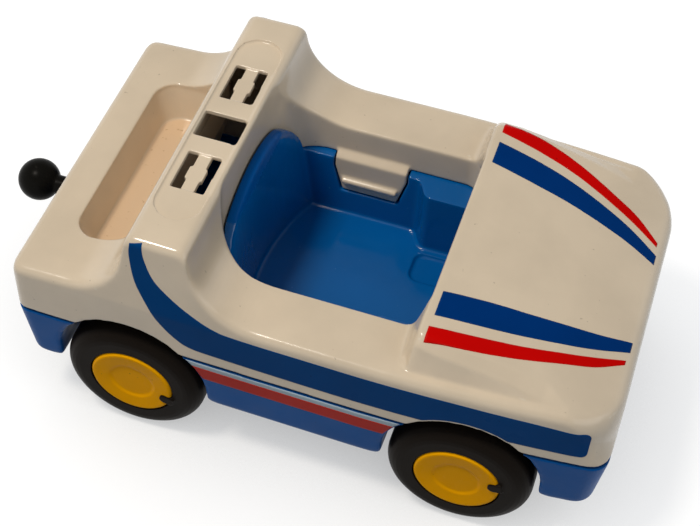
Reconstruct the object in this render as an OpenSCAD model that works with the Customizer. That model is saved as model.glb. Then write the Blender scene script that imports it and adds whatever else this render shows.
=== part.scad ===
// Toy patrol car for small hands: a moulded upper shell clipped to a chassis
// with a seat tub, two wheel sets that turn with their axles, and a tow ball.
// +X points to the nose, +Y to the car's left and +Z up. The tyres stand on
// z = 0, and the origin lies under the middle of the whole length.

/* [Body] */
// Length of the body from its rear face to its nose
body_len = 157.8; // [150:0.2:175]
// Width of the body where it is widest, beside the cab
body_w = 94.4; // [92:0.2:104]
// Width of the body at the rear
rear_w = 92; // [90:0.2:96]
// Width of the body at the nose
nose_w = 87; // [84:0.2:90]
// Distance from the nose back to the widest place
taper_len = 63.6; // [56:0.2:72]
// Height of the parting line above the axles
part_rise = 18.5; // [17.5:0.5:22]
// Radius of the rear corners in plan
corner_r = 3.5; // [2.6:0.1:5]
// Radius of the front corners in plan, at the parting line
nose_corner_r = 5; // [3.5:0.1:7]
// Radius of the front corners in plan, at the hood
nose_top_r = 11; // [7:0.5:12]
// Radius along the upper side edges
edge_r = 2.4; // [2.3:0.1:3.4]
// How much that radius grows towards the front corners
edge_grow = 4.8; // [0:0.2:6]
// Wall thickness of the upper shell
shell_wall = 2.2; // [1.6:0.1:2.6]

/* [Rear deck] */
// Height of the deck above the parting line
deck_rise = 16; // [14:0.2:18]
// Rise of the deck towards the roll bar
deck_gain_h = 1.2; // [0:0.1:2]
// Radius along the rear edge of the deck
deck_edge_r = 2.4; // [2.3:0.1:3.4]
// Distance from the rear face to the tray
tray_margin = 10.6; // [8:0.2:13]
// Length of the tray
tray_len = 19.6; // [16:0.2:21]
// Width of the tray
tray_w = 60; // [48:1:66]
// Depth of the tray below the deck
tray_depth = 10.2; // [7:0.2:11]
// Radius of the tray's corners in plan
tray_corner_r = 6; // [3:0.5:8]
// How far each tray wall slopes in on its way down
tray_draft = 2.4; // [0.5:0.1:2.9]

/* [Roll bar] */
// Height of the roll bar above the parting line
bar_rise = 37.6; // [33:0.2:42]
// Distance from the rear face to the rear edge of the roll bar's top
bar_setback = 32.5; // [31:0.1:35]
// Length of the roll bar's top along the car
bar_top_len = 16; // [15:0.2:18]
// Radius along both edges of the roll bar's top
bar_edge_r = 3; // [2.4:0.1:3.6]
// How far the roll bar's rear face leans forward
bar_rear_run = 3.5; // [2:0.1:6]
// Radius between the deck and the roll bar
bar_rear_r = 16; // [8:0.5:18]
// How far the roll bar's front face leans back
bar_front_run = 2.2; // [1:0.1:4]
// How far the roll bar's ends lean in
side_lean = 2.5; // [0:0.1:4]
// Radius between the roll bar and the sill
bar_front_r = 18; // [10:0.5:19]
// Length of the accessory recess across the roll bar
recess_len = 68; // [58:1:74]
// Width of the accessory recess along the car
recess_w = 12.5; // [12.2:0.1:13]
// Depth of the accessory recess
recess_depth = 0.8; // [0.4:0.1:1]
// Length of the middle slot across the car
mid_slot_len = 9.1; // [6:0.1:12]
// Width of the middle slot along the car
mid_slot_w = 11.4; // [9:0.1:11.8]
// Length of each side slot across the car
side_slot_len = 12.8; // [10:0.1:15]
// Width of each side slot along the car
side_slot_w = 8.9; // [7.5:0.1:10]
// Distance of each side slot's middle from the car's centre line
side_slot_y = 16.8; // [15:0.1:18]
// Width of the clip bar across the middle of each side slot
clip_bar_w = 3.6; // [2.5:0.1:4.5]

/* [Cab] */
// Height of the sill above the parting line
sill_rise = 17.6; // [16:0.2:19]
// Width of the cab opening between the sills
cab_w = 59.2; // [54:0.2:62]
// Radius of the opening's rear corners in plan
cab_rear_r = 13; // [8:0.5:18]
// Radius of the opening's front corners in plan
cab_front_r = 5; // [3:0.5:9]
// Height of the seat tub's rim above the parting line
rim_rise = 7.2; // [6:0.2:9]
// Length of each snap tab along the sill
tab_len = 21; // [16:0.5:24]
// How far each snap tab hangs below the tub's rim
tab_drop = 12.2; // [9:0.2:14]

/* [Hood] */
// Distance from the nose back to the cowl
hood_len = 52.4; // [46:0.2:56]
// Height of the cowl above the sill
cowl_rise = 8.4; // [6:0.2:11]
// Length of the ramp from the sill up to the cowl
cowl_ramp = 2.8; // [2.4:0.2:5]
// Height of the hood's front edge above the parting line
nose_rise = 13; // [11:0.2:15]
// Radius along the front edge of the hood
nose_edge_r = 4.5; // [3:0.5:6]
// How far the middle of the hood's slope is crowned
hood_crown = 1.9; // [0.6:0.1:2.6]
// How far the hood's sides lean in at the cowl
hood_lean = 0.8; // [0.4:0.1:3]
// Radius of the hood's rear corners in plan
cowl_corner_r = 7; // [4.4:0.2:9]

/* [Chassis] */
// Depth of the skirt below the parting line
skirt_drop = 20.7; // [19:0.1:22]
// How far the skirt leans in on its way down
skirt_lean = 1.6; // [0:0.1:3]
// How far the turned-under foot of the skirt is drawn in
skirt_turn = 1.6; // [0.5:0.1:2.4]
// Height of the turned-under foot of the skirt
skirt_foot = 3; // [2:0.2:4]
// Radius of the skirt's lower corners at the wheel arches
skirt_corner_r = 3; // [1:0.1:4]
// Wall thickness of the chassis
chassis_wall = 2; // [1.6:0.1:2.5]
// Depth of the cab floor below the parting line
floor_drop = 14; // [12:0.2:14.6]
// Height of the lip that locates the shell
lip_rise = 2.5; // [1.5:0.1:3.5]
// Height of the shadow groove under the parting line
groove_h = 0.7; // [0.4:0.1:1.2]
// Depth of the shadow groove
groove_depth = 0.6; // [0.3:0.1:1]

/* [Seat] */
// Width of the seat between the side walls
seat_w = 54; // [48:0.5:54.5]
// Height of the backrest above the tub's rim
back_rise = 19.8; // [14:0.2:24]
// Thickness of the backrest on the centre line
back_wall = 3; // [2:0.1:4]
// Depth of the hollow in the backrest at the floor
back_hollow = 6.4; // [3:0.1:8]
// Depth of the hollow in the backrest at the tub's rim
back_hollow_top = 2.9; // [1.5:0.1:3]
// Length of the seat's wide part
seat_len = 37; // [32:0.5:42]
// Width of the footwell
foot_w = 43; // [34:0.5:46]
// How far the footwell runs on under the hood
foot_reach = 8.8; // [5:0.2:11]
// Width of each foot recess in the floor
toe_w = 10; // [7:0.2:11]
// Length of each foot recess
toe_len = 22; // [14:0.5:24]
// Depth of each foot recess
toe_depth = 1; // [0.5:0.1:1.2]

/* [Wheels] */
// Distance between the axles
wheelbase_len = 90; // [86:0.5:96]
// Distance from the rear face to the rear axle
rear_overhang = 31.8; // [30:0.1:34]
// Radius of the tyres
tyre_r = 19.5; // [18.5:0.1:21]
// Width of the tyres
tyre_w = 13; // [11.5:0.1:13.5]
// Radius of the tyres' shoulders
shoulder_r = 4.6; // [2:0.1:5]
// Radius of the hubs
hub_r = 11.6; // [10.5:0.1:13]
// How far the hub faces stand out past the body's rear
hub_proud = 1; // [0:0.1:2]
// How far the middle of each hub is dished
hub_dish = 0.8; // [0.3:0.1:1.4]
// Gap between a tyre and the sides of its wheel arch
arch_gap = 1.2; // [1:0.1:3]
// How far the round of each wheel arch is raised above the axle
arch_rise = 3.7; // [1:0.1:4.5]
// Radius of the axles
axle_r = 1.5; // [1.2:0.1:2]
// Radius of the bearing bosses under the floor
boss_r = 4; // [3.2:0.1:4.6]
// Width of the key that stops a tyre slipping on its hub
key_w = 1.3; // [1:0.1:2]
// Depth of that key into the hub
key_depth = 2.6; // [1.5:0.1:3]
// Angle of that key below the horizontal on the rear wheels
key_angle = 17; // [0:1:90]
// Angle of that key above the horizontal on the front wheels
front_key_angle = 11; // [0:1:90]

/* [Tow ball] */
// Radius of the tow ball
ball_r = 6.05; // [5:0.05:7]
// How far the tow ball reaches behind the body
tow_reach = 21.4; // [18:0.2:26]
// How far the tow ball's middle lies below the parting line
tow_drop = 4; // [4:0.1:8]
// Radius of the tow ball's neck
neck_r = 2.8; // [2.2:0.1:3.2]

/* [Fits] */
// Gap between neighbouring pieces that don't touch
clearance = 0.3; // [0.2:0.05:0.4]
// Radial play of the axles in their bearings
axle_play = 0.05; // [0.03:0.01:0.08]
// Radial gap of pieces that are pushed together
push_gap = 0.02; // [0.01:0.01:0.03]

/* [Hidden] */
// Stations along the car
x_nose = (body_len + tow_reach) / 2;
x_rear = x_nose - body_len;
x_axle_rear = x_rear + rear_overhang;
x_axle_front = x_axle_rear + wheelbase_len;
x_bar_rear = x_rear + bar_setback;
x_bar_front = x_bar_rear + bar_top_len;
x_bar_mid = (x_bar_rear + x_bar_front) / 2;
x_bar_foot = x_bar_rear - bar_rear_run;
x_sill = x_bar_front + bar_front_run;
x_cowl = x_nose - hood_len;
x_wide = x_nose - taper_len;
x_tray = x_rear + tray_margin;
x_tray_front = x_tray + tray_len;

// Heights
z_axle = tyre_r;
z_part = z_axle + part_rise;
z_deck = z_part + deck_rise;
z_sill = z_part + sill_rise;
z_bar = z_part + bar_rise;
z_cowl = z_sill + cowl_rise;
z_nose = z_part + nose_rise;
z_rim = z_part + rim_rise;
z_floor = z_part - floor_drop;
z_skirt = z_part - skirt_drop;
z_tray = z_deck - tray_depth;
z_recess = z_bar - recess_depth;
z_tow = z_part - tow_drop;

// The hood's crowned slope meets the sill line at this share of its length
hood_rise = z_cowl - z_nose + 4 * hood_crown;
hood_root = sqrt(pow(hood_rise, 2) - 16 * hood_crown * (z_sill - z_nose));
merge_share = 2 * (z_sill - z_nose) / (hood_rise + hood_root);
x_merge = x_nose - hood_len * merge_share;

// The front corners in plan start ahead of that meeting and end behind the nose's edge
soft_margin = 1.1;
knee_gap = 0.6;
x_soft = max(x_nose - nose_top_r, x_merge + knee_gap);
x_soft_end = x_nose - nose_edge_r * soft_margin;

// Small forms of the shell's surface
edge_min = 0.6;
soft_steps = 4;
side_steps = 5;
crown_steps = 6;
grow_share = 0.9;
edge_share = 0.6;
crease_r = 2.2;
crease_w = 2.6;
ledge_w = 1;
cowl_edge_r = 1.4;
ramp_r = 2.6;
edge_steps = 6;
arc_steps = 10;
wide_r = 10;
wide_steps = 16;
overcut = 1;

// Cab opening and the tub below it
cab_set_in = 0.5;
cab_rear = x_bar_front - cab_set_in;
cab_front = x_cowl;
cowl_lip = 4.4;
lip_w = 1.5;
lip_set_in = shell_wall + clearance;
x_seat = cab_rear + clearance + back_wall;
x_step = x_seat + seat_len;
x_foot_end = cab_front + foot_reach;
seat_corner_r = 2.5;
step_run = 3;
tab_wall = 1.8;
tab_taper = 2.4;
tab_slope = 3.5;
tab_share = 0.61;
tab_mid = x_seat + seat_len * tab_share;
tab_rib_h = 2.4;
tab_rib_out = 1.4;
tab_rib_rise = 3.2;
tab_set_out = 0.2;
tab_face = seat_w / 2 + tab_set_out;
toe_y = foot_w / 2 - toe_w / 2 - chassis_wall;

// Wheels
arch_r = tyre_r + arch_gap;
arch_steps = 16;
hub_face = rear_w / 2 + hub_proud;
tyre_inset = 0.4;
tyre_face = hub_face - tyre_inset;
tyre_back = tyre_face - tyre_w;
well_wall = tyre_back - 2 * clearance;
hub_wall = 1.9;
hub_back = well_wall + clearance;
bead_h = 0.8;
bead_w = 3;
axle_cover = 3.2;
axle_depth = hub_face - axle_cover;
boss_len = 9;

// Tow ball
x_ball = x_rear - tow_reach + ball_r;
tow_pad = 1.2;
tow_boss_wall = 1;
tow_boss_len = 8;
tow_head_len = 2.4;
tow_head_grip = 0.6;
stem_step = 0.4;
stem_r = neck_r - stem_step;

$fn = 64;

// Vector helpers for outlines in a plane
function unit(v) = v / norm(v);
function right_of(v) = [v.y, -v.x];
function spin(v, a) = [v.x * cos(a) - v.y * sin(a), v.x * sin(a) + v.y * cos(a)];
function turn_side(u, v) = sign(u.y * v.x - u.x * v.y);

// Arc of radius r that rounds the corner p between directions u and v, in more steps if it is wide
function corner_arc(p, u, v, r, steps) =
    let (side = turn_side(u, v),
        turn = acos(u * v),
        start = p - u * r * tan(turn / 2),
        centre = start + right_of(u) * side * r,
        n = r < wide_r ? steps : wide_steps)
    r <= 0 ? [p] : [for (k = [0 : n]) centre + spin(start - centre, -side * turn * k / n)];

// One corner of an outline, moved d to the right of its path and then rounded
function moved_corner(before, p, after, r, d, steps) =
    let (u = unit(p - before),
        v = unit(after - p),
        out = right_of(u) + right_of(v),
        shift = out * d / (1 + right_of(u) * right_of(v)),
        grown = r - turn_side(u, v) * d)
    corner_arc(p + shift, u, v, r > 0 ? max(grown, edge_min) : 0, steps);

// Open path with its inner corners rounded
function rounded_path(path, radii, d, steps) =
    [for (i = [1 : len(path) - 2])
        each moved_corner(path[i - 1], path[i], path[i + 1], radii[i - 1], d, steps)];

// Closed outline, clockwise, with every corner rounded
function rounded_loop(points, radii, d, steps) =
    let (n = len(points))
    [for (i = [0 : n - 1])
        each moved_corner(points[(i + n - 1) % n], points[i], points[(i + 1) % n], radii[i], d, steps)];

// Clockwise rectangle with separate radii at its rear and its front
function plan_box(x0, x1, half, rear_r, front_r, d, steps) =
    rounded_loop([[x0, -half], [x0, half], [x1, half], [x1, -half]],
        [rear_r, rear_r, front_r, front_r], d, steps);

// Half-width of the body at station x without its corners: bowed, and closing in to the nose
function side_half(x) =
    x < x_wide
        ? (body_w - (body_w - rear_w) * (x_wide - x) / (x_wide - x_rear)) / 2
        : (body_w - (body_w - nose_w) * pow((x - x_wide) / taper_len, 2)) / 2;

// Plan of the body at the parting line, drawn in by d
function body_plan(d, steps) =
    let (bow = [for (k = [0 : side_steps - 1]) x_wide + taper_len * k / side_steps],
        far = concat([x_rear], bow, [x_nose]),
        last = len(far) - 1,
        radii = [for (k = [0 : last])
            k == 0 ? corner_r + d : k == last ? nose_corner_r + d : 0])
    rounded_loop(
        [for (x = far) [x, side_half(x)], for (k = [last : -1 : 0]) [far[k], -side_half(far[k])]],
        concat(radii, [for (k = [last : -1 : 0]) radii[k]]), d, steps);

// Plan of the cab opening, grown by d
function cab_plan(d) = plan_box(cab_rear, cab_front, cab_w / 2, cab_rear_r, cab_front_r, -d, arc_steps);

// Solid skin over a row of closed rings with equal counts of points
module loft(rings) {
    n = len(rings[0]);
    last = len(rings) - 1;
    polyhedron(
        points = [for (ring = rings) each ring],
        faces = [
            [for (j = [0 : n - 1]) j],
            [for (j = [n - 1 : -1 : 0]) last * n + j],
            for (i = [0 : last - 1], j = [0 : n - 1])
                let (a = i * n + j, b = i * n + (j + 1) % n)
                each [[a, a + n, b + n], [a, b + n, b]]
        ],
        convexity = 8);
}

// Half-width of the body at station x, drawn in by d, with front corners of radius front_r
function plan_half(x, d, front_r) =
    let (straight = side_half(x) - d,
        behind = x - x_rear,
        ahead = x_nose - x,
        r = max((behind < ahead ? corner_r : front_r) - d, edge_min),
        short = max(r + d - min(behind, ahead), 0))
    straight - r + sqrt(max(r * r - short * short, 0));

// Radius of the upper side edge at station x under the shoulder, drawn in by d
function side_edge_r(x, shoulder, d) =
    let (grown = edge_r + edge_grow * min(max(x - x_soft, 0) / ((x_nose - x_soft) * grow_share), 1))
    max(min(grown - d, (shoulder - z_part) * edge_share), edge_min);

// Closed section of the body at a station [x, shoulder height, hood height]
function section(station, d, bottom, steps) =
    let (x = station[0],
        shoulder = station[1],
        hood = station[2],
        r = side_edge_r(x, shoulder, d),
        half = plan_half(x, d, nose_top_r),
        top = half - side_lean * max(shoulder - z_sill, 0) / (z_bar - z_sill),
        foot = top - r - ledge_w,
        turn = min(max(1 - (x - x_cowl + cowl_ramp) / cowl_corner_r, 0), 1),
        corner = cowl_corner_r * (1 - sqrt(1 - turn * turn)),
        crest = foot - crease_w - (hood > shoulder ? corner : 0) - hood_lean * (hood - shoulder) / cowl_rise,
        down = unit([foot - crest, shoulder - hood]),
        side = [
            [plan_half(x, d, nose_corner_r), bottom],
            [half, min(shoulder, z_sill) - r - knee_gap],
            for (k = [0 : steps]) [top, shoulder] + r * [cos(90 * k / steps) - 1, sin(90 * k / steps) - 1],
            [foot, shoulder],
            [crest, hood] + crease_r * down,
            [crest - crease_r, hood]
        ],
        n = len(side))
    [for (p = side) [x, p.x, p.y], for (k = [n - 1 : -1 : 0]) [x, -side[k].x, side[k].y]];

// Heights of the deck and of the hood's slope at station x
function deck_z(x) = z_deck + deck_gain_h * (x - x_rear) / (x_bar_foot - x_rear);
function hood_z(x) =
    let (s = (x_nose - x) / hood_len)
    z_nose + (z_cowl - z_nose) * s + 4 * hood_crown * s * (1 - s);

// Stations of the body from rear to nose, drawn in by d
function body_stations(d, steps) =
    let (x_corner = x_rear + corner_r,
        soft = [for (k = [0 : soft_steps])
            let (x = x_soft + (x_soft_end - x_soft) * k / soft_steps)
            [x, hood_z(x)]],
        base = rounded_path(
            [[x_rear, z_part], [x_rear, z_deck], [x_corner, deck_z(x_corner)],
                [x_bar_foot, deck_z(x_bar_foot)], [x_bar_rear, z_bar], [x_bar_front, z_bar],
                [x_sill, z_sill], [x_wide, z_sill], [x_merge, z_sill], each soft,
                [x_nose, z_nose], [x_nose, z_part]],
            [deck_edge_r, 0, bar_rear_r, bar_edge_r, bar_edge_r, bar_front_r, 0, 0,
                for (p = soft) 0, nose_edge_r],
            d, steps),
        crown = [for (k = [1 : crown_steps - 1])
            let (x = x_cowl + (x_merge - x_cowl) * k / crown_steps)
            [x, hood_z(x)]],
        hood = rounded_path(
            [[x_sill, z_sill], [x_cowl - cowl_ramp, z_sill], [x_cowl, z_cowl], each crown, [x_merge, z_sill]],
            [ramp_r, cowl_edge_r, for (p = crown) 0], d, steps))
    [
        for (p = base) if (p.x < x_cowl) [p.x, p.y, p.y],
        for (p = hood) [p.x, z_sill - d, p.y],
        for (p = base) if (p.x > x_cowl) [p.x, p.y, p.y]
    ];

// Outer form of the upper body, drawn in by d and closed at z = bottom
module body_form(d, bottom, steps) {
    loft([for (station = body_stations(d, steps)) section(station, d, bottom, steps)]);
}

// Prism over an outline between two heights
module prism(outline, z0, z1) {
    translate([0, 0, z0])
        linear_extrude(z1 - z0)
            polygon(outline);
}

// Tapered pocket between an outline at the top and a drawn-in one at the bottom
module pocket(x0, x1, half, r, draft, z0, z1) {
    hull() {
        prism(plan_box(x0, x1, half, r, r, 0, edge_steps), z1 - edge_min, z1);
        prism(plan_box(x0 + draft, x1 - draft, half - draft, r, r, 0, edge_steps), z0, z0 + edge_min);
    }
}

// Hollow of the tray behind the roll bar, grown by d on every side but the top
module tray_form(d) {
    r = tray_corner_r;
    half = tray_w / 2 + d;
    pocket(x_tray - d, x_tray_front + d, half, r, tray_draft, z_tray - d, z_deck);
    prism(plan_box(x_tray - d, x_tray_front + d, half, r, r, 0, edge_steps), z_deck - overcut, z_bar);
}

// Curtain wall that hangs from the edge of the cab opening down to the tub
module cab_curtain() {
    outline = cab_plan(shell_wall);
    intersection() {
        prism(outline, z_rim, z_bar);
        translate([x_rear, -body_w, z_rim])
            cube([x_cowl - cowl_lip - x_rear, 2 * body_w, bar_rise]);
    }
    prism(outline, z_cowl - cowl_lip, z_bar);
}

// Outline of a wheel arch around its axle: round above, straight on both sides below
function arch_outline(r) =
    [for (k = [0 : arch_steps]) [0, arch_rise] + r * [cos(180 * k / arch_steps), sin(180 * k / arch_steps)],
        [-r, -z_axle], [r, -z_axle]];

// Wheel arches through the sides, from half-width y0 outwards
module arches(r, y0) {
    for (x = [x_axle_rear, x_axle_front], flip = [0, 1])
        mirror([0, flip, 0])
            translate([x, -y0, z_axle])
                rotate([90, 0, 0])
                    linear_extrude(body_w)
                        polygon(arch_outline(r));
}

// Slot through the top of the roll bar
module bar_slot(y, len_y, len_x) {
    flare = 0.2;
    hull() {
        translate([x_bar_mid - len_x / 2, y - len_y / 2, z_recess - edge_min])
            cube([len_x, len_y, overcut + recess_depth]);
        translate([x_bar_mid - len_x / 2 + flare, y - len_y / 2 + flare, z_recess - shell_wall - overcut])
            cube([len_x - 2 * flare, len_y - 2 * flare, shell_wall]);
    }
}

// Springy bar across a side slot, with a catch on each long edge
module clip_bar(y) {
    drop = 0.5;
    thick = 1.6;
    catch_len = side_slot_len / 3;
    catch_out = 0.6;
    z_low = z_recess - drop - thick;
    hull()
        for (end = [-1, 1])
            translate([x_bar_mid - clip_bar_w / 2, y + end * side_slot_len / 2 - overcut / 2, z_low])
                cube([clip_bar_w, overcut, thick]);
    hull()
        for (out = [-1, 1])
            translate([x_bar_mid + out * clip_bar_w / 2 - catch_out, y - catch_len / 2, z_low])
                cube([2 * catch_out, catch_len, thick]);
}

// Tab inside the left sill that clips into the tub's side wall
module snap_tab() {
    inner = tab_face;
    z_low = z_rim - tab_drop;
    half = tab_len / 2;
    z_rib = z_low + tab_rib_rise;
    hull() {
        translate([tab_mid - half, cab_w / 2 - push_gap, z_rim])
            cube([tab_len, shell_wall / 2, tab_slope / 2]);
        translate([tab_mid - half, inner, z_rim - tab_slope])
            cube([tab_len, tab_wall, tab_slope]);
    }
    hull() {
        translate([tab_mid - half, inner, z_rim - tab_slope])
            cube([tab_len, tab_wall, tab_slope]);
        translate([tab_mid - half + tab_taper, inner, z_low])
            cube([tab_len - 2 * tab_taper, tab_wall, edge_min]);
    }
    hull() {
        translate([tab_mid - half + tab_taper, inner, z_rib])
            cube([tab_len - 2 * tab_taper, tab_wall / 2, tab_rib_h]);
        translate([tab_mid - half + tab_taper, inner - tab_rib_out, z_rib + edge_min])
            cube([tab_len - 2 * tab_taper, tab_wall / 2, tab_rib_h - 2 * edge_min]);
    }
}

// Moulded upper body with its tray, roll bar, cab opening and hood
module upper_shell() {
    color("#efe7d8") {
        difference() {
            body_form(0, z_part, edge_steps);
            difference() {
                body_form(shell_wall, z_part - overcut, edge_steps / 2);
                tray_form(shell_wall);
                cab_curtain();
                arches(arch_r + shell_wall, well_wall - shell_wall);
            }
            tray_form(0);
            prism(cab_plan(0), z_part - overcut, z_bar + overcut);
            hull()
                for (side = [-1, 1])
                    translate([x_bar_mid, side * (recess_len - recess_w) / 2, z_recess])
                        cylinder(d = recess_w, h = recess_depth + overcut, $fn = 32);
            bar_slot(0, mid_slot_len, mid_slot_w);
            for (side = [-1, 1])
                bar_slot(side * side_slot_y, side_slot_len, side_slot_w);
            arches(arch_r, well_wall);
        }
        for (side = [-1, 1])
            clip_bar(side * side_slot_y);
        snap_tab();
        mirror([0, 1, 0])
            snap_tab();
    }
}

// Form of the skirt with its turned-under foot, drawn in by d, from z0 up to z1
module skirt_form(d, z0, z1) {
    turn_angle = 60;
    turn_steps = 3;
    levels = [[z1, 0],
        for (k = [0 : turn_steps])
            let (a = turn_angle * k / turn_steps)
            [z_skirt + skirt_foot + (z0 - z_skirt - skirt_foot) * sin(a) / sin(turn_angle),
                skirt_lean + skirt_turn * (1 - cos(a)) / (1 - cos(turn_angle))]];
    loft([
        for (level = levels)
            [for (p = body_plan(d + level[1], edge_steps)) [p.x, p.y, level[0]]]
    ]);
}

// Round-off of the skirt's lower corner beside a wheel arch, along the whole width
module skirt_corner(x, way) {
    r = skirt_corner_r;
    translate([x + way * (arch_r + r), body_w / 2, z_skirt + r])
        rotate([90, 0, 0])
            linear_extrude(body_w)
                difference() {
                    translate([way > 0 ? -r - overcut : 0, -r - overcut])
                        square(r + overcut);
                    circle(r = r, $fn = 32);
                }
}

// Plan of the seat and the footwell, grown by d
function seat_plan(d) =
    rounded_loop(
        [[cab_rear, -seat_w / 2], [cab_rear, seat_w / 2], [x_step, seat_w / 2],
            [x_step + step_run, foot_w / 2], [x_foot_end, foot_w / 2], [x_foot_end, -foot_w / 2],
            [x_step + step_run, -foot_w / 2], [x_step, -seat_w / 2]],
        [for (k = [0 : 7]) seat_corner_r], -d, edge_steps);

// Outline behind and around the seat at height z, hollowed towards the backrest
function seat_ring(z) =
    let (half = seat_w / 2 + overcut,
        depth = back_hollow + (back_hollow_top - back_hollow) * (z - z_floor) / (z_rim - z_floor))
    [for (k = [-arc_steps : arc_steps]) [x_seat + depth * pow(k / arc_steps, 2), half * k / arc_steps, z],
        [x_foot_end + overcut, half, z], [x_foot_end + overcut, -half, z]];

// Space of the seat and the footwell
module seat_space() {
    intersection() {
        prism(seat_plan(0), z_floor, z_bar);
        loft([seat_ring(z_bar), seat_ring(z_floor - overcut)]);
    }
}

// Backrest that rises behind the seat as an arch
module backrest() {
    outline = plan_box(cab_rear, cab_front, cab_w / 2, cab_rear_r, cab_front_r, clearance, arc_steps);
    half = seat_w / 2 - push_gap;
    intersection() {
        prism(outline, z_rim - chassis_wall, z_bar);
        translate([cab_rear, 0, z_rim])
            rotate([90, 0, 90])
                linear_extrude(seat_len / 2)
                    scale([half, back_rise])
                        circle(r = 1);
        translate([cab_rear, -half, z_rim - chassis_wall])
            cube([seat_len / 2, 2 * half, z_bar]);
    }
}

// Notch in the tub's left wall for the snap tab
module tab_notch() {
    half = tab_len / 2 + clearance;
    z_low = z_rim - tab_drop - clearance;
    outer = cab_w / 2 + shell_wall + overcut;
    translate([0, outer, 0])
        rotate([90, 0, 0])
            linear_extrude(outer - tab_face + tab_wall + tab_rib_out)
                polygon([[tab_mid - half, z_rim + overcut], [tab_mid + half, z_rim + overcut],
                    [tab_mid + half, z_rim - tab_slope], [tab_mid + half - tab_taper, z_low],
                    [tab_mid - half + tab_taper, z_low], [tab_mid - half, z_rim - tab_slope]]);
}

// Recess for the left foot in the floor
module foot_recess() {
    x0 = x_step + step_run;
    r = seat_corner_r;
    outline = plan_box(x0, x0 + toe_len, toe_w / 2, r, r, 0, edge_steps);
    translate([0, toe_y, 0])
        prism(outline, z_floor - toe_depth, z_floor + overcut);
}

// Bearing boss of one wheel, on the left
module bearing_boss(x) {
    translate([x, well_wall, z_axle])
        rotate([90, 0, 0])
            cylinder(r = boss_r, h = boss_len);
}

// Gaps in the locating lip for the shell's arch linings
module lip_gaps() {
    intersection() {
        arches(arch_r + shell_wall + clearance, well_wall - shell_wall - clearance);
        translate([x_rear, -body_w, z_part])
            cube([body_len, 2 * body_w, bar_rise]);
    }
}

// Skirt, floor, wheel wells and seat tub in one moulding
module chassis() {
    color("#0a4c9a")
        difference() {
            union() {
                difference() {
                    skirt_form(0, z_skirt, z_part - groove_h);
                    difference() {
                        skirt_form(chassis_wall, z_skirt - overcut, z_part);
                        translate([x_rear, -body_w / 2, z_floor - chassis_wall])
                            cube([body_len, body_w, chassis_wall]);
                        arches(arch_r + chassis_wall, well_wall - chassis_wall);
                    }
                }
                difference() {
                    union() {
                        prism(body_plan(groove_depth, edge_steps), z_part - chassis_wall, z_part);
                        prism(body_plan(lip_set_in, edge_steps), z_part - chassis_wall, z_part + lip_rise);
                    }
                    prism(body_plan(lip_set_in + lip_w, edge_steps), z_skirt, z_bar);
                    lip_gaps();
                }
                prism(seat_plan(chassis_wall), z_floor - chassis_wall, z_rim);
                prism(cab_plan(shell_wall), z_rim - chassis_wall, z_rim);
                backrest();
                for (x = [x_axle_rear, x_axle_front], flip = [0, 1])
                    mirror([0, flip, 0])
                        bearing_boss(x);
                translate([x_rear - tow_pad, 0, z_tow])
                    rotate([0, 90, 0])
                        cylinder(r = stem_r + tow_boss_wall, h = tow_pad + tow_boss_len);
            }
            seat_space();
            arches(arch_r, well_wall);
            for (flip = [0, 1])
                mirror([0, flip, 0]) {
                    tab_notch();
                    foot_recess();
                }
            for (x = [x_axle_rear, x_axle_front], way = [-1, 1])
                skirt_corner(x, way);
            for (x = [x_axle_rear, x_axle_front])
                translate([x, -body_w / 2, z_axle])
                    rotate([-90, 0, 0])
                        cylinder(r = axle_r + axle_play, h = body_w);
            translate([x_rear - tow_pad - overcut, 0, z_tow])
                rotate([0, 90, 0])
                    cylinder(r = stem_r + push_gap, h = tow_pad + tow_boss_len + 2 * overcut);
        }
}

// Ball, neck and snap-in stem for a trailer
module tow_hitch() {
    inner = x_rear + tow_boss_len;
    color("#161616")
        translate([0, 0, z_tow])
            rotate([0, 90, 0]) {
                translate([0, 0, x_ball])
                    sphere(r = ball_r);
                translate([0, 0, x_ball])
                    cylinder(r = neck_r, h = x_rear - tow_pad - x_ball);
                translate([0, 0, x_rear - tow_pad - overcut])
                    cylinder(r = stem_r, h = tow_pad + overcut + tow_boss_len + clearance + overcut);
                translate([0, 0, inner + clearance])
                    cylinder(r1 = neck_r + tow_head_grip, r2 = stem_r - clearance, h = tow_head_len);
            }
}

// Steel rod between two hubs
module axle(x) {
    color("silver")
        translate([x, -axle_depth, z_axle])
            rotate([-90, 0, 0])
                cylinder(r = axle_r, h = 2 * axle_depth);
}

// Places a wheel part, turned on +Z, at one end of an axle
module at_wheel(x, side) {
    translate([x, 0, z_axle])
        mirror([0, side < 0 ? 1 : 0, 0])
            rotate([-90, 0, 0])
                children();
}

// Key between tyre and hub of the wheel at x, grown by d
module wheel_key(x, d, z0, z1) {
    rotate([0, 0, x > 0 ? -front_key_angle : key_angle])
        translate([hub_r - key_depth - d, -key_w / 2 - d, z0])
            cube([key_depth + d + bead_h, key_w + 2 * d, z1 - z0]);
}

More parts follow.
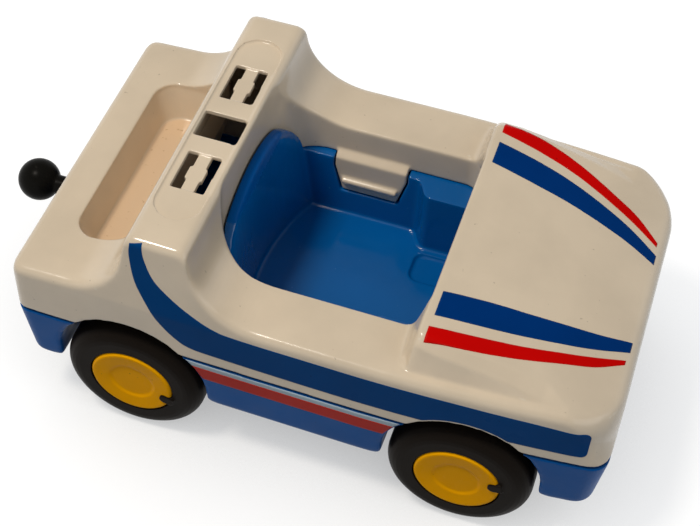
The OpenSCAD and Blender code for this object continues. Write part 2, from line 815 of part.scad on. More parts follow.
// Dished hub with a tyre seat and a blind bore for the axle
module hub(x, side) {
    dish_r = hub_r / 2;
    bead = (tyre_face + tyre_back) / 2;
    web = hub_face - hub_dish - hub_wall;
    edge = 0.7;
    color("#e0a008")
        at_wheel(x, side)
            difference() {
                rotate_extrude()
                    polygon([[0, hub_back], [boss_r, hub_back], [boss_r, web], [hub_r - hub_wall, web],
                        [hub_r - hub_wall, tyre_back], [hub_r, tyre_back], [hub_r, bead - bead_w / 2],
                        [hub_r + bead_h, bead - bead_w / 2 + bead_h],
                        [hub_r + bead_h, bead + bead_w / 2 - bead_h],
                        [hub_r, bead + bead_w / 2], [hub_r, hub_face - edge], [hub_r - edge, hub_face],
                        [hub_r - 2 * edge, hub_face], [dish_r + edge, hub_face - hub_dish / 2],
                        [dish_r, hub_face - hub_dish], [0, hub_face - hub_dish]]);
                translate([0, 0, hub_back - overcut])
                    cylinder(r = axle_r + push_gap, h = axle_depth + push_gap - hub_back + overcut);
                wheel_key(x, push_gap, web + edge_min, hub_face + overcut);
            }
}

// Soft tyre with rounded shoulders and a key towards the hub
module tyre(x, side) {
    seat = hub_r + push_gap;
    bead = (tyre_face + tyre_back) / 2;
    groove = bead_w / 2 + push_gap;
    crown = [tyre_r - shoulder_r, 0];
    key_back = hub_face - hub_dish - hub_wall + edge_min + push_gap;
    color("#1b1917")
        at_wheel(x, side)
            union() {
                rotate_extrude()
                    polygon([[seat, tyre_back],
                        for (k = [0 : edge_steps])
                            [crown.x, tyre_back + shoulder_r]
                                + shoulder_r * [sin(90 * k / edge_steps), -cos(90 * k / edge_steps)],
                        for (k = [0 : edge_steps])
                            [crown.x, tyre_face - shoulder_r]
                                + shoulder_r * [cos(90 * k / edge_steps), sin(90 * k / edge_steps)],
                        [seat, tyre_face], [seat, bead + groove], [seat + bead_h, bead + groove - bead_h],
                        [seat + bead_h, bead - groove + bead_h], [seat, bead - groove]]);
                wheel_key(x, 0, key_back, tyre_face);
            }
}

upper_shell();
chassis();
tow_hitch();
axle(x_axle_front);  // axle_front
axle(x_axle_rear);  // axle_rear
hub(x_axle_front, 1);  // hub_front_left
hub(x_axle_front, -1);  // hub_front_right
hub(x_axle_rear, 1);  // hub_rear_left
hub(x_axle_rear, -1);  // hub_rear_right
tyre(x_axle_front, 1);  // tyre_front_left
tyre(x_axle_front, -1);  // tyre_front_right
tyre(x_axle_rear, 1);  // tyre_rear_left
tyre(x_axle_rear, -1);  // tyre_rear_right
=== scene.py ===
import math
from collections import namedtuple

import bmesh
import bpy
import numpy as np
from mathutils import Matrix, Vector
from mathutils.bvhtree import BVHTree


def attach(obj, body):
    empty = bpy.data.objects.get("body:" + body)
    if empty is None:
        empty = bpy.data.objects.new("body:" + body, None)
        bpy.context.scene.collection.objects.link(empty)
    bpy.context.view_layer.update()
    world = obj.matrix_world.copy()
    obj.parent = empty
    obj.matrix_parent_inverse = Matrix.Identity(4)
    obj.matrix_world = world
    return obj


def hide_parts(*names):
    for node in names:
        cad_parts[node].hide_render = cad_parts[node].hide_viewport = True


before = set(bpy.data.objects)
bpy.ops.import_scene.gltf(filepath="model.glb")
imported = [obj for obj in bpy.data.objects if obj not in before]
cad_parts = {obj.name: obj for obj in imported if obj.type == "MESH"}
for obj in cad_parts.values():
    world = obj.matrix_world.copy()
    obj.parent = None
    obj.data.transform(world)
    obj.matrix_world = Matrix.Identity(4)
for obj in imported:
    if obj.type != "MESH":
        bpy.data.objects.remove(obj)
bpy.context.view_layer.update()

MM = 0.001
SIDES = {"right": -1, "left": 1}
WHEELS = [(end, side) for end in ("front", "rear") for side in ("left", "right")]

# Body in millimetres: +X to the nose, +Y to the car's left, +Z up from the ground
AXLE_X = {"rear": -36.4, "front": 53.6}
AXLE_Z = 19.5
ARCH_MID_Z = 23.2
ARCH_R = 20.7
PART_Z = 38.0
SHELL_WALL = 2.2
BAR_TOP_Z = 75.6
RECESS_HALF = 34.0

# Cab opening, the rim of the tub in it and the underside of its sills
CAB_REAR_X = -20.2
CAB_FRONT_X = 37.2
CAB_HALF = 29.6
CAB_REAR_R = 13.0
CAB_FRONT_R = 5.0
RIM_Z = 45.2
SILL_UNDER_Z = 53.6

# Front corners of the wall round the cab: length before the bend, gap to the cowl, reach into the sill
CORNER_LEAD = 1.0
CORNER_GAP = 0.05
CORNER_INTO_SILL = 1.2

# Points on the bend of those corners, and on other small arcs
CORNER_COUNT = 8
ARC_COUNT = 9

# Hubs, and the heads of the keys that hold the tyres on them
HUB_FACE = 47.0
HUB_DISC_R = 9.6
HUB_DISC_DEPTH = 2.0
KEY_ANGLE = {"rear": -17.0, "front": 11.0}
KEY_HEAD_R = (8.4, 12.4)
KEY_HEAD_W = 3.0
KEY_HEAD_DEPTH = 1.5
KEY_HEAD_RISE = 0.25

# Places with a look of their own, one of them the painted shadow along the skirt's seam: lowest and highest
# corner of a box, and how far its sides fade
TRAY_FLOOR = ((-58, -31, 42), (-39, 31, 44.2))
# Box of the painted shadow along the skirt's seam
SEAM_SHADE_BOX = ((-80, -60, 37.1), (100, 60, 38.6))
TUB_ROOM = ((-30, -33, 20), (50, 33, 60))
BOX_FADE = 0.4

# Dressed copies of the solids: voxel in millimetres, rounds of smoothing all over, triangles kept
Skin = namedtuple("Skin", "voxel rounds faces")
SHELL_SKIN = Skin(0.24, 3, 185000)
CHASSIS_SKIN = Skin(0.4, 6, 150000)
HITCH_SKIN = Skin(0.25, 6, 16000)
TYRE_SKIN = Skin(0.2, 4, 24000)
HUB_SKIN = Skin(0.16, 4, 20000)

# Strength of one round of smoothing, and weight of the larger faces in the shading
SMOOTH_FACTOR = 0.5
SHADE_WEIGHT = 60

# Further rounds of smoothing at softer places
CAB_RIM_ROUNDS = 54
OFF_BAR_ROUNDS = 32
ARCH_LIP_ROUNDS = 30
BACKREST_ROUNDS = 44
HUB_DISC_ROUNDS = 30

# Where those places end
LIP_REACH = 3.0
CAB_RIM_FROM_Z = 51
BAR_TOP_DEPTH = 4
RECESS_MARGIN = 2
ARCH_LIP_FROM_Y = 41
ARCH_LIP_BELOW_PART = 1
BACKREST_X = (CAB_REAR_X + 2, -8)
BACKREST_HALF = 25
BACKREST_FROM_Z = 27

# How far a dressed copy is drawn in from its solid
DRAW_IN = 0.06
HUB_DRAW_IN = 0.16

# Camera that took the photograph, in millimetres and degrees
CAMERA_PLACE = (81.1, -259.08, 358.95)
CAMERA_TURN = 15.56
CAMERA_TILT = 39.73
CAMERA_ROLL = 3.59
SENSOR_W = 36.0
LENS = 79.52
CLIP_START = 10.0

# Lamps: direction from the car, size in metres, power in watts and colour
Lamp = namedtuple("Lamp", "way size power colour")
KEY_LAMP = Lamp((-0.3, -0.22, 0.93), 0.16, 3.85, (1.0, 0.93, 0.83))
FILL_LAMP = Lamp((0.85, -0.1, 0.5), 0.6, 0.9, (1.0, 0.96, 0.9))
LAMP_AWAY = 0.85

# Even light from all round, and the ceiling, given by the height of its edges on a sphere of radius 1
AMBIENT = 0.28
AMBIENT_COLOUR = (0.88, 0.98, 1.08)
CEILING = 0.25
CEILING_STOPS = (0.42, 0.62)

# Floor: half its size in metres, tones, light that it shows, and depth and share of the shadow near the car
FLOOR_HALF = 3
FLOOR_TONES = (0.28, 0.32)
FLOOR_GLOW = 0.9
CONTACT_DEPTH = 0.09
CONTACT_SHARE = 0.6
CONTACT_SAMPLES = 6

# Stripes on the hood at stations X: inner and outer distance from the centre line
HOOD_BLUE = [(39.6, 23.2, 31.1), (52, 21.2, 29.1), (62, 19.75, 26.85), (73, 17.6, 23.35), (80, 15.9, 20.5),
             (87.2, 13.5, 16.7)]
HOOD_RED = [(39.3, 34.8, 39.2), (51, 32.7, 37.3), (62, 30.0, 34.0), (73, 26.0, 29.3), (80, 23.0, 26.0),
            (86.7, 19.6, 21.0)]
HOOD_STEPS = 20

# Band along the side, from the roll bar's end to the nose, as points (X, Z) of both its edges
BAND_LOWER = [(-34.2, 74.2), (-34.3, 69.9), (-33.0, 62.1), (-30.1, 55.4), (-26.9, 49.7), (-22.9, 45.2),
              (-18.8, 42.8), (-10.9, 42.2), (10, 41.8), (33, 41.8)]
BAND_UPPER = [(-31.0, 75.0), (-30.5, 70.6), (-28.2, 64.7), (-24.7, 60.8), (-19.4, 56.8), (-12.4, 53.3),
              (-4.8, 52.3), (20, 52.2), (50, 52.2)]
BAND_STEPS = 12
BAND_COUNT = 300

# Front end of that band, where its edges run straight and end in round corners
BAND_STRAIGHT_X = (50, 70)
BAND_LOW_Z = 41.8
BAND_TOP_Z = 51.7
BAND_END_X = 83.7
BAND_END_TOP_Z = 50.9
BAND_LOW_R = 1.4
BAND_TOP_R = 2.4

# Stripes on the skirt between the wheel arches: lower and upper height
SKIRT_RED_Z = (30.1, 35.2)
SKIRT_PALE_Z = (35.2, 37.1)
SKIRT_COUNT = 100

# Films of the stripes: margin to the arches, lift over the skin, thickness and size of their faces
ARCH_MARGIN = 0.9
HOOD_LIFT = 0.09
SIDE_LIFT = 0.045
FILM_THICK = 0.12
FILM_STEP = 0.5

# Noise: cells to the metre and detail
TONE_NOISE = (55, 4)
SPECK_NOISE = (750, 1)
GLOSS_NOISE = (140, 5)
DUST_NOISE = (620, 2)
FLOOR_NOISE = (6, 3)
PLASTIC_GRAIN = (1800, 2)
RUBBER_GRAIN = (900, 2)
STEEL_GRAIN = (2600, 2)

# Where a noise, or the sharpness of an edge, starts and ends to show
TONE_STOPS = (0.35, 0.65)
WEAR_STOPS = (0.54, 0.66)
SPECK_STOPS = (0.77, 0.82)
GLOSS_STOPS = (0.3, 0.7)
DUST_STOPS = (0.68, 0.76)
FLOOR_STOPS = (0.3, 0.7)

# How much each of them shows
TONE_GAIN = (0.95, 1.04)
WEAR_FULL = 0.5
SPECK_FULL = 0.4
GLOSS_SPREAD = (-0.04, 0.06)
DUST_FULL = 0.5
YELLOWING_FULL = 0.8
# Strength of the painted shadow along the skirt's seam
SEAM_SHADE_FULL = 0.7

# Strength of the grain, and its depth in millimetres
GRAIN_STRENGTH = 0.08
GRAIN_DEPTH = 0.1


def linear(code):
    """Linear colour from a hexadecimal code of the colour as seen."""
    parts = [int(code[k:k + 2], 16) / 255 for k in (1, 3, 5)]
    return Vector([((p + 0.055) / 1.055) ** 2.4 if p > 0.04 else p / 12.92 for p in parts])


def grey(level):
    """Colour with three equal parts."""
    return Vector((level, level, level))


def linked(name, data):
    """New object of a mesh, lamp or camera, in the scene."""
    piece = bpy.data.objects.new(name, data)
    bpy.context.scene.collection.objects.link(piece)
    return piece


def bake(piece):
    """Makes the modifiers of a piece part of its mesh."""
    state = bpy.context.evaluated_depsgraph_get()
    mesh = bpy.data.meshes.new_from_object(piece.evaluated_get(state))
    piece.modifiers.clear()
    piece.data = mesh


def points_mm(piece):
    """Vertex places of a piece as rows in millimetres."""
    flat = np.empty(len(piece.data.vertices) * 3)
    piece.data.vertices.foreach_get("co", flat)
    return flat.reshape(-1, 3) / MM


def in_room(piece, corners):
    """True for the faces of a piece with their middle in a box with corners in millimetres."""
    flat = np.empty(len(piece.data.polygons) * 3)
    piece.data.polygons.foreach_get("center", flat)
    middles = flat.reshape(-1, 3) / MM
    return np.all((middles > corners[0]) & (middles < corners[1]), axis=1)


def smooth_rounds(piece, rounds, group=""):
    """Rounds the edges of a piece, or only of a group of its points."""
    smooth = piece.modifiers.new("round_edges", "SMOOTH")
    smooth.factor = SMOOTH_FACTOR
    smooth.iterations = rounds
    smooth.vertex_group = group


def add_prism(bm, outline, low, high, place):
    """Adds a closed prism over an outline in millimetres, put in place by a matrix."""
    layers = []
    for height in (low, high):
        layers.append([bm.verts.new(place @ Vector((u, v, height)) * MM) for u, v in outline])
    count = len(outline)
    faces = [bm.faces.new(layers[0]), bm.faces.new(layers[1])]
    for k in range(count):
        after = (k + 1) % count
        faces.append(bm.faces.new((layers[0][k], layers[0][after], layers[1][after], layers[1][k])))
    bmesh.ops.recalc_face_normals(bm, faces=faces)


def corner_arc(middle, r, start, end, count=ARC_COUNT):
    """Points on an arc about a middle, from one angle to another."""
    u, v = middle
    return [(u + r * math.cos(a), v + r * math.sin(a)) for a in np.linspace(start, end, count)]


def curtain_corner(side):
    """Front corner of the wall that hangs from the cab's rim, carried on below the cowl."""
    middle = CAB_FRONT_X - CAB_FRONT_R, CAB_HALF - CAB_FRONT_R
    outer_r = CAB_FRONT_R + SHELL_WALL
    start = middle[0] - CORNER_LEAD
    end = CAB_FRONT_X - CORNER_GAP - middle[0]
    inner = corner_arc(middle, CAB_FRONT_R, math.pi / 2, math.acos(end / CAB_FRONT_R), CORNER_COUNT)
    outer = corner_arc(middle, outer_r, math.acos(end / outer_r), math.pi / 2, CORNER_COUNT)
    outline = [(start, CAB_HALF), *inner, *outer, (start, CAB_HALF + SHELL_WALL)]
    mirrored = [(x, side * y) for x, y in outline]
    return mirrored, RIM_Z, SILL_UNDER_Z + CORNER_INTO_SILL, Matrix.Identity(4)


def key_head(end, side):
    """Head of the tyre's key, which fills the notch in the hub's rim."""
    half = KEY_HEAD_W / 2
    inner, outer = KEY_HEAD_R
    outline = corner_arc((inner + half, 0), half, math.pi / 2, math.pi * 1.5)
    outline += [(outer, -half), (outer, half)]
    angle = math.radians(KEY_ANGLE[end])
    along = Vector((math.cos(angle), 0, math.sin(angle)))
    across = Vector((-math.sin(angle), 0, math.cos(angle)))
    out = Vector((0, SIDES[side], 0))
    turn = Matrix((along, across, out)).transposed().to_4x4()
    place = Matrix.Translation((AXLE_X[end], 0, AXLE_Z)) @ turn
    return outline, HUB_FACE - KEY_HEAD_DEPTH, HUB_FACE + KEY_HEAD_RISE, place


def soft_copy(node, name, skin, lips=(), extras=(), draw_in=DRAW_IN):
    """Stands for a CAD node: its form with small extras, edges rounded and lips rounded more."""
    mesh = bpy.data.meshes.new(name)
    bm = bmesh.new()
    bm.from_mesh(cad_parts[node].data)
    for extra in extras:
        add_prism(bm, *extra)
    bm.to_mesh(mesh)
    bm.free()
    piece = linked(name, mesh)
    remesh = piece.modifiers.new("even_grid", "REMESH")
    remesh.mode = "VOXEL"
    remesh.voxel_size = skin.voxel * MM
    smooth_rounds(piece, skin.rounds)
    shrink = piece.modifiers.new("room_for_films", "DISPLACE")
    shrink.mid_level = 0
    shrink.strength = -draw_in * MM
    bake(piece)
    for count, (near_lip, rounds) in enumerate(lips):
        group = piece.vertex_groups.new(name="lip_%d" % count)
        group.add(np.flatnonzero(near_lip(points_mm(piece))).tolist(), 1.0, "REPLACE")
        smooth_rounds(piece, rounds, group.name)
    thin = piece.modifiers.new("fewer_faces", "DECIMATE")
    thin.ratio = min(1.0, skin.faces / (2 * len(piece.data.polygons)))
    bake(piece)
    piece.data.shade_smooth()
    piece.modifiers.new("even_shade", "WEIGHTED_NORMAL").weight = SHADE_WEIGHT
    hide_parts(node)
    return piece


def near_cab_rim(co):
    """True for points close to the upper edge of the cab opening."""
    middle = (CAB_REAR_X + CAB_FRONT_X) / 2
    reach = (CAB_FRONT_X - CAB_REAR_X) / 2
    r = np.where(co[:, 0] < middle, CAB_REAR_R, CAB_FRONT_R)
    past_x = np.abs(co[:, 0] - middle) - reach + r
    past_y = np.abs(co[:, 1]) - CAB_HALF + r
    away = np.hypot(np.maximum(past_x, 0), np.maximum(past_y, 0)) - r
    away += np.minimum(np.maximum(past_x, past_y), 0)
    return (np.abs(away) < LIP_REACH) & (co[:, 2] > CAB_RIM_FROM_Z)


def off_bar_top(co):
    """True for points away from the roll bar's top, where recess and slots stay crisp."""
    return (co[:, 2] < BAR_TOP_Z - BAR_TOP_DEPTH) | (np.abs(co[:, 1]) > RECESS_HALF + RECESS_MARGIN)


def near_arch_lip(co):
    """True for points close to the edges of the wheel arches."""
    close = np.zeros(len(co), bool)
    for x in AXLE_X.values():
        round_away = np.hypot(co[:, 0] - x, co[:, 2] - ARCH_MID_Z) - ARCH_R
        straight_away = np.abs(co[:, 0] - x) - ARCH_R
        away = np.where(co[:, 2] > ARCH_MID_Z, round_away, straight_away)
        close |= np.abs(away) < LIP_REACH
    return close & (np.abs(co[:, 1]) > ARCH_LIP_FROM_Y) & (co[:, 2] < PART_Z - ARCH_LIP_BELOW_PART)


def on_backrest(co):
    """True for points on the hollow front of the seat's back."""
    along = (co[:, 0] > BACKREST_X[0]) & (co[:, 0] < BACKREST_X[1])
    return along & (np.abs(co[:, 1]) < BACKREST_HALF) & (co[:, 2] > BACKREST_FROM_Z)


def on_hub_disc(co):
    """True for points on the face of a hub, inside its rim."""
    near = [np.hypot(co[:, 0] - x, co[:, 2] - AXLE_Z) < HUB_DISC_R for x in AXLE_X.values()]
    return (near[0] | near[1]) & (np.abs(co[:, 1]) > HUB_FACE - HUB_DISC_DEPTH)


def curve_through(points, steps):
    """Smooth line through measured points, as an array of rows."""
    p = np.array(points, float)
    p = np.vstack([2 * p[0] - p[1], p, 2 * p[-1] - p[-2]])
    line = []
    for k in range(1, len(p) - 2):
        for t in np.arange(steps) / steps:
            a, b, c, d = p[k - 1:k + 3]
            line.append(0.5 * (2 * b + (c - a) * t + (2 * a - 5 * b + 4 * c - d) * t ** 2
                               + (3 * b - a - 3 * c + d) * t ** 3))
    line.append(p[-2])
    return np.array(line)


def even_line(line, count):
    """The same line with points at even distances."""
    gone = np.concatenate([[0], np.cumsum(np.hypot(*np.diff(line, axis=0).T))])
    places = np.linspace(0, gone[-1], count)
    return np.stack([np.interp(places, gone, line[:, k]) for k in range(2)], 1)


def arch_top(x):
    """Height of the wheel arches at station x, or the ground between them."""
    tops = [ARCH_MID_Z + math.sqrt(ARCH_R ** 2 - (x - axle) ** 2) if abs(x - axle) < ARCH_R else 0
            for axle in AXLE_X.values()]
    return max(tops)


def arch_side(axle, way, z):
    """Station of the edge of a wheel arch at height z, on its front or rear."""
    rise = max(z - ARCH_MID_Z, 0)
    return axle + way * (math.sqrt(ARCH_R ** 2 - rise ** 2) + ARCH_MARGIN)


def printed_film(name, lower, upper, carrier, side, downwards, ink):
    """Thin printed film between two lines, laid on its carrier from above or from one side."""
    lift = HOOD_LIFT if downwards else SIDE_LIFT
    across = max(2, round(np.hypot(*(upper - lower).T).max() / FILM_STEP)) + 1
    bm = bmesh.new()
    rows = []
    for low, high in zip(lower, upper):
        row = []
        for share in np.linspace(0, 1, across):
            u, v = (low + (high - low) * share) * MM
            if downwards:
                hit, normal = carrier.ray_cast(Vector((u, side * v, 1)), Vector((0, 0, -1)))[:2]
            else:
                hit, normal = carrier.ray_cast(Vector((u, side, v)), Vector((0, -side, 0)))[:2]
            row.append(bm.verts.new(hit + normal * lift * MM))
        rows.append(row)
    for before, after in zip(rows, rows[1:]):
        for k in range(across - 1):
            bm.faces.new((before[k], before[k + 1], after[k + 1], after[k]))
    bm.normal_update()
    middle = bm.faces[:][len(bm.faces) // 2].normal
    outward = Vector((0, 0, 1)) if downwards else Vector((0, side, 0))
    if middle.dot(outward) < 0:
        bmesh.ops.reverse_faces(bm, faces=bm.faces[:])
    mesh = bpy.data.meshes.new(name)
    bm.to_mesh(mesh)
    bm.free()
    piece = linked(name, mesh)
    solid = piece.modifiers.new("film", "SOLIDIFY")
    solid.thickness = FILM_THICK * MM
    solid.offset = -1
    bake(piece)
    piece.data.shade_smooth()
    piece.data.materials.append(ink)
    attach(piece, "body")


def hood_stripe(name, stations, carrier, side, ink):
    """Curved stripe along one side of the hood."""
    line = curve_through(stations, HOOD_STEPS)
    printed_film(name, line[:, [0, 1]], line[:, [0, 2]], carrier, side, True, ink)


def side_band(name, carrier, side, ink):
    """Broad band that comes down the roll bar's end and runs forward above the wheel arch."""
    low_middle = BAND_END_X - BAND_LOW_R, BAND_LOW_Z + BAND_LOW_R
    top_middle = BAND_END_X - BAND_TOP_R, BAND_END_TOP_Z - BAND_TOP_R
    end_low = [(x, BAND_LOW_Z) for x in BAND_STRAIGHT_X]
    end_low += corner_arc(low_middle, BAND_LOW_R, -math.pi / 2, 0)
    end_top = [(BAND_STRAIGHT_X[-1], BAND_TOP_Z)] + corner_arc(top_middle, BAND_TOP_R, math.pi / 2, 0)
    lower = even_line(np.vstack([curve_through(BAND_LOWER, BAND_STEPS), end_low]), BAND_COUNT)
    upper = even_line(np.vstack([curve_through(BAND_UPPER, BAND_STEPS), end_top]), BAND_COUNT)
    for point in lower:
        point[1] = max(point[1], arch_top(point[0]) + ARCH_MARGIN)
    printed_film(name, lower, upper, carrier, side, False, ink)


def skirt_stripe(name, heights, carrier, side, ink):
    """Stripe along the skirt from one wheel arch to the other."""
    lines = []
    for z in heights:
        ends = arch_side(AXLE_X["rear"], 1, z), arch_side(AXLE_X["front"], -1, z)
        lines.append(np.array([(x, z) for x in np.linspace(*ends, SKIRT_COUNT)]))
    printed_film(name, lines[0], lines[1], carrier, side, False, ink)


def add_node(tree, kind, **settings):
    """New shader node with its settings."""
    made = tree.nodes.new(kind)
    for key, value in settings.items():
        setattr(made, key, value)
    return made


def noise(tree, scale, detail):
    """Noise in the piece's own coordinates, with scale cells to the metre."""
    place = add_node(tree, "ShaderNodeTexCoord")
    made = add_node(tree, "ShaderNodeTexNoise")
    made.inputs["Scale"].default_value = scale
    made.inputs["Detail"].default_value = detail
    tree.links.new(place.outputs["Object"], made.inputs["Vector"])
    return made.outputs["Fac"]


def ramp(tree, factor, stops, first, last):
    """Colours from first to last between two stops of a factor."""
    made = add_node(tree, "ShaderNodeValToRGB")
    for element, place, colour in zip(made.color_ramp.elements, stops, (first, last)):
        element.position = place
        element.color = (*colour, 1)
    tree.links.new(factor, made.inputs["Fac"])
    return made.outputs["Color"]


def over(tree, factor, below, code):
    """A colour, given by its code, laid over another where the factor is high."""
    made = add_node(tree, "ShaderNodeMix", data_type="RGBA")
    tree.links.new(factor, made.inputs["Factor"])
    tree.links.new(below, made.inputs[6])
    made.inputs[7].default_value = (*linear(code), 1)
    return made.outputs[2]


def calculated(tree, operation, *values, clamp=False):
    """Result of one sum, with numbers or the outputs of nodes as its values."""
    made = add_node(tree, "ShaderNodeMath", operation=operation, use_clamp=clamp)
    for socket, value in zip(made.inputs, values):
        if isinstance(value, (int, float)):
            socket.default_value = value
        else:
            tree.links.new(value, socket)
    return made.outputs[0]


def within(tree, corners):
    """1 inside a box with corners in millimetres, falling to 0 over its outermost part."""
    place = add_node(tree, "ShaderNodeSeparateXYZ")
    tree.links.new(add_node(tree, "ShaderNodeTexCoord").outputs["Object"], place.inputs[0])
    total = 1.0
    for axis, (low, high) in enumerate(zip(*corners)):
        from_middle = calculated(tree, "SUBTRACT", place.outputs[axis], (low + high) / 2 * MM)
        away = calculated(tree, "ABSOLUTE", from_middle)
        inside = calculated(tree, "SUBTRACT", (high - low) / 2 * MM, away)
        share = calculated(tree, "DIVIDE", inside, BOX_FADE * MM, clamp=True)
        total = calculated(tree, "MULTIPLY", total, share)
    return total


def surface(name, code, worn, dirt, rough, shine, grain=PLASTIC_GRAIN, metal=0.0, stain_or_painted_shade=None):
    """Moulded or printed surface: uneven tone, worn edges, specks, uneven gloss and fine grain."""
    material = bpy.data.materials.new(name)
    material.use_nodes = True
    tree = material.node_tree
    shader = tree.nodes["Principled BSDF"]
    darker, lighter = [linear(code) * gain for gain in TONE_GAIN]
    tone = ramp(tree, noise(tree, *TONE_NOISE), TONE_STOPS, darker, lighter)
    sharp = add_node(tree, "ShaderNodeNewGeometry").outputs["Pointiness"]
    tone = over(tree, ramp(tree, sharp, WEAR_STOPS, grey(0), grey(WEAR_FULL)), tone, worn)
    specks = ramp(tree, noise(tree, *SPECK_NOISE), SPECK_STOPS, grey(0), grey(SPECK_FULL))
    tone = over(tree, specks, tone, dirt)
    # A real stain, or painted shade, laid over the tone where one is given
    if stain_or_painted_shade:
        tone = stain_or_painted_shade(tree, tone)
    tree.links.new(tone, shader.inputs["Base Color"])
    smoother, rougher = [grey(rough + more) for more in GLOSS_SPREAD]
    gloss = ramp(tree, noise(tree, *GLOSS_NOISE), GLOSS_STOPS, smoother, rougher)
    tree.links.new(gloss, shader.inputs["Roughness"])
    bump = add_node(tree, "ShaderNodeBump")
    bump.inputs["Strength"].default_value = GRAIN_STRENGTH
    bump.inputs["Distance"].default_value = GRAIN_DEPTH * MM
    tree.links.new(noise(tree, *grain), bump.inputs["Height"])
    tree.links.new(bump.outputs["Normal"], shader.inputs["Normal"])
    shader.inputs["Specular IOR Level"].default_value = shine
    shader.inputs["Metallic"].default_value = metal
    return material


def tray_stain(tree, tone):
    """Yellowed and dusty floor of the tray."""
    inside = within(tree, TRAY_FLOOR)
    tone = over(tree, calculated(tree, "MULTIPLY", inside, YELLOWING_FULL), tone, "#dfbd97")
    dust = ramp(tree, noise(tree, *DUST_NOISE), DUST_STOPS, grey(0), grey(DUST_FULL))
    return over(tree, calculated(tree, "MULTIPLY", inside, dust), tone, "#a67c56")


def seam_painted_shade(tree, tone):
    """Painted shadow: a dark line where the skirt meets the shell, standing in for the shade in the gap."""
    seam_shade = calculated(tree, "MULTIPLY", within(tree, SEAM_SHADE_BOX), SEAM_SHADE_FULL)
    return over(tree, seam_shade, tone, "#06203f")


def painted(piece, material):
    """Gives a piece its material."""
    piece.data.materials.clear()
    piece.data.materials.append(material)


def seen_rays(tree):
    """1 for rays that show the background: from the camera, off gloss and through glass."""
    path = add_node(tree, "ShaderNodeLightPath")
    total = path.outputs["Is Camera Ray"]
    for ray in ("Is Glossy Ray", "Is Transmission Ray"):
        total = calculated(tree, "MAXIMUM", total, path.outputs[ray])
    return total


def make_camera():
    """Camera at the place from which the photograph was taken."""
    data = bpy.data.cameras.new("camera")
    data.sensor_fit = "HORIZONTAL"
    data.sensor_width = SENSOR_W
    data.lens = LENS
    data.clip_start = CLIP_START * MM
    camera = linked("camera", data)
    matrix = Matrix.Translation(Vector(CAMERA_PLACE) * MM)
    for angle, axis in ((CAMERA_TURN, "Z"), (CAMERA_TILT, "X"), (CAMERA_ROLL, "Z")):
        matrix = matrix @ Matrix.Rotation(math.radians(angle), 4, axis)
    camera.matrix_world = matrix
    bpy.context.scene.camera = camera


def add_lamp(name, lamp):
    """Round soft lamp that shines on the car from one way."""
    light = bpy.data.lights.new(name, "AREA")
    light.shape = "DISK"
    light.size = lamp.size
    light.energy = lamp.power
    light.color = lamp.colour
    holder = linked(name, light)
    towards = Vector(lamp.way).normalized()
    holder.location = towards * LAMP_AWAY
    holder.rotation_euler = towards.to_track_quat("Z", "Y").to_euler()


def make_light():
    """Warm key light from high above, weak fill before the nose, and white walls below a dim ceiling."""
    world = bpy.data.worlds.new("studio")
    bpy.context.scene.world = world
    world.use_nodes = True
    tree = world.node_tree
    shown = tree.nodes["Background"]
    way = add_node(tree, "ShaderNodeSeparateXYZ")
    tree.links.new(add_node(tree, "ShaderNodeTexCoord").outputs["Generated"], way.inputs[0])
    walls = ramp(tree, way.outputs["Z"], CEILING_STOPS, grey(1), grey(CEILING))
    tree.links.new(walls, shown.inputs["Color"])
    even = add_node(tree, "ShaderNodeBackground")
    even.inputs["Color"].default_value = (*AMBIENT_COLOUR, 1)
    even.inputs["Strength"].default_value = AMBIENT
    either = add_node(tree, "ShaderNodeMixShader")
    tree.links.new(seen_rays(tree), either.inputs["Fac"])
    tree.links.new(even.outputs[0], either.inputs[1])
    tree.links.new(shown.outputs[0], either.inputs[2])
    tree.links.new(either.outputs[0], tree.nodes["World Output"].inputs["Surface"])
    add_lamp("key", KEY_LAMP)
    add_lamp("fill", FILL_LAMP)


def make_floor():
    """Pale floor that looks white where no shadow falls, and darker close to the car."""
    bm = bmesh.new()
    bmesh.ops.create_grid(bm, x_segments=8, y_segments=8, size=FLOOR_HALF)
    mesh = bpy.data.meshes.new("floor")
    bm.to_mesh(mesh)
    bm.free()
    floor = linked("floor", mesh)
    material = bpy.data.materials.new("pale_floor")
    material.use_nodes = True
    tree = material.node_tree
    tree.nodes.remove(tree.nodes["Principled BSDF"])
    matt = add_node(tree, "ShaderNodeBsdfDiffuse")
    darker, lighter = [grey(level) for level in FLOOR_TONES]
    tone = ramp(tree, noise(tree, *FLOOR_NOISE), FLOOR_STOPS, darker, lighter)
    tree.links.new(tone, matt.inputs["Color"])
    glow = add_node(tree, "ShaderNodeEmission")
    contact = add_node(tree, "ShaderNodeAmbientOcclusion", samples=CONTACT_SAMPLES)
    contact.inputs["Distance"].default_value = CONTACT_DEPTH
    open_part = calculated(tree, "MULTIPLY_ADD", contact.outputs["AO"], CONTACT_SHARE, 1 - CONTACT_SHARE)
    shown = calculated(tree, "MULTIPLY", seen_rays(tree), FLOOR_GLOW)
    tree.links.new(calculated(tree, "MULTIPLY", shown, open_part), glow.inputs["Strength"])
    both = add_node(tree, "ShaderNodeAddShader")
    tree.links.new(matt.outputs[0], both.inputs[0])
    tree.links.new(glow.outputs[0], both.inputs[1])
    tree.links.new(both.outputs[0], tree.nodes["Material Output"].inputs["Surface"])
    mesh.materials.append(material)


def make_shell():
    """Cream upper shell."""
    cream = surface("cream_plastic", "#dccab1", worn="#e6dccb", dirt="#8f7c66", rough=0.17, shine=0.5,
                    stain_or_painted_shade=tray_stain)
    lips = [(near_cab_rim, CAB_RIM_ROUNDS), (off_bar_top, OFF_BAR_ROUNDS)]
    corners = [curtain_corner(side) for side in SIDES.values()]
    shell = soft_copy("upper_shell", "moulded_shell", SHELL_SKIN, lips, corners)
    painted(shell, cream)
    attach(shell, "body")
    return shell


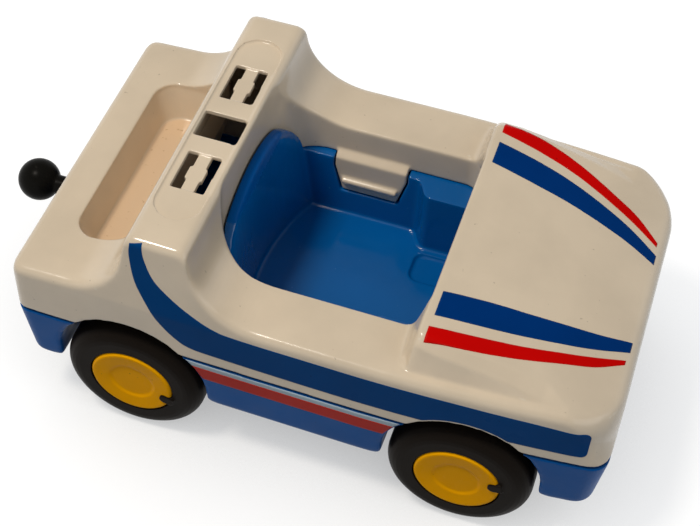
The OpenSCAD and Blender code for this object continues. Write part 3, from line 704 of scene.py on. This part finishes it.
def make_chassis():
    """Blue chassis: satin outside, glossy in the seat tub."""
    # The satin blue carries the painted shadow along the seam under the shell
    satin = surface("satin_blue_plastic", "#0057a2", worn="#1c62a4", dirt="#0a2444", rough=0.34, shine=0.05,
                    stain_or_painted_shade=seam_painted_shade)
    glossy = surface("blue_plastic", "#005ca2", worn="#2f6fa8", dirt="#4f86b8", rough=0.12, shine=0.45)
    lips = [(near_arch_lip, ARCH_LIP_ROUNDS), (on_backrest, BACKREST_ROUNDS)]
    tub = soft_copy("chassis", "moulded_chassis", CHASSIS_SKIN, lips)
    painted(tub, satin)
    tub.data.materials.append(glossy)
    is_glossy = in_room(tub, TUB_ROOM).astype(np.int32)
    tub.data.polygons.foreach_set("material_index", is_glossy)
    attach(tub, "body")
    return tub


def make_hitch():
    """Black tow ball on its neck."""
    black = surface("black_plastic", "#151412", worn="#2c2a27", dirt="#0d0c0b", rough=0.3, shine=0.03)
    ball = soft_copy("tow_hitch", "tow_ball_moulding", HITCH_SKIN)
    painted(ball, black)
    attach(ball, "body")


def make_stripes(shell, tub):
    """Printed stripes on hood, sides and skirt."""
    state = bpy.context.evaluated_depsgraph_get()
    shell_skin = BVHTree.FromObject(shell, state)
    skirt_skin = BVHTree.FromObject(tub, state)
    blue = surface("blue_ink", "#00417c", worn="#214f80", dirt="#10233c", rough=0.3, shine=0.02)
    # Painted shade: the hood's stripes are the same ink as the side band, made darker here for the light
    # that falls on the hood
    hood_blue_painted_shade = surface("hood_blue_ink_painted_shade", "#003272", worn="#214f80", dirt="#10233c", rough=0.3, shine=0.02)
    red = surface("red_ink", "#cc0503", worn="#cf4036", dirt="#5c0a08", rough=0.3, shine=0.02)
    dull_red = surface("dull_red_ink", "#c63a32", worn="#c8564d", dirt="#4c1614", rough=0.32, shine=0.02)
    pale = surface("pale_ink", "#b3c4cf", worn="#cdd8df", dirt="#6d7c88", rough=0.3, shine=0.06)
    for word, side in SIDES.items():
        hood_stripe("hood_stripe_blue_" + word, HOOD_BLUE, shell_skin, side, hood_blue_painted_shade)
        hood_stripe("hood_stripe_red_" + word, HOOD_RED, shell_skin, side, red)
        side_band("side_band_" + word, shell_skin, side, blue)
        skirt_stripe("skirt_stripe_red_" + word, SKIRT_RED_Z, skirt_skin, side, dull_red)
        skirt_stripe("skirt_stripe_pale_" + word, SKIRT_PALE_Z, skirt_skin, side, pale)


def make_wheels():
    """Tyres and hubs with rounded edges, and the steel axles."""
    rubber = surface("black_rubber", "#1a1511", worn="#2e2721", dirt="#120f0b", rough=0.38, shine=0.03,
                     grain=RUBBER_GRAIN)
    yellow = surface("yellow_plastic", "#ffb000", worn="#ffb408", dirt="#6e480c", rough=0.26, shine=0.02)
    steel = surface("drawn_steel", "#a7a6a3", worn="#c8c7c4", dirt="#6d6b68", rough=0.3, shine=0.5,
                    grain=STEEL_GRAIN, metal=1.0)
    for end, side in WHEELS:
        place = "%s_%s" % (end, side)
        tyre = soft_copy("tyre_" + place, place + "_tyre", TYRE_SKIN, extras=[key_head(end, side)])
        painted(tyre, rubber)
        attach(tyre, end + "_wheels")
        lips = [(on_hub_disc, HUB_DISC_ROUNDS)]
        hub = soft_copy("hub_" + place, place + "_hub", HUB_SKIN, lips, draw_in=HUB_DRAW_IN)
        painted(hub, yellow)
        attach(hub, end + "_wheels")
    for end in AXLE_X:
        painted(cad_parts["axle_" + end], steel)


bpy.context.scene.view_settings.view_transform = "Standard"
make_camera()
make_light()
make_floor()
shell_piece = make_shell()
tub_piece = make_chassis()
make_hitch()
make_stripes(shell_piece, tub_piece)
make_wheels()
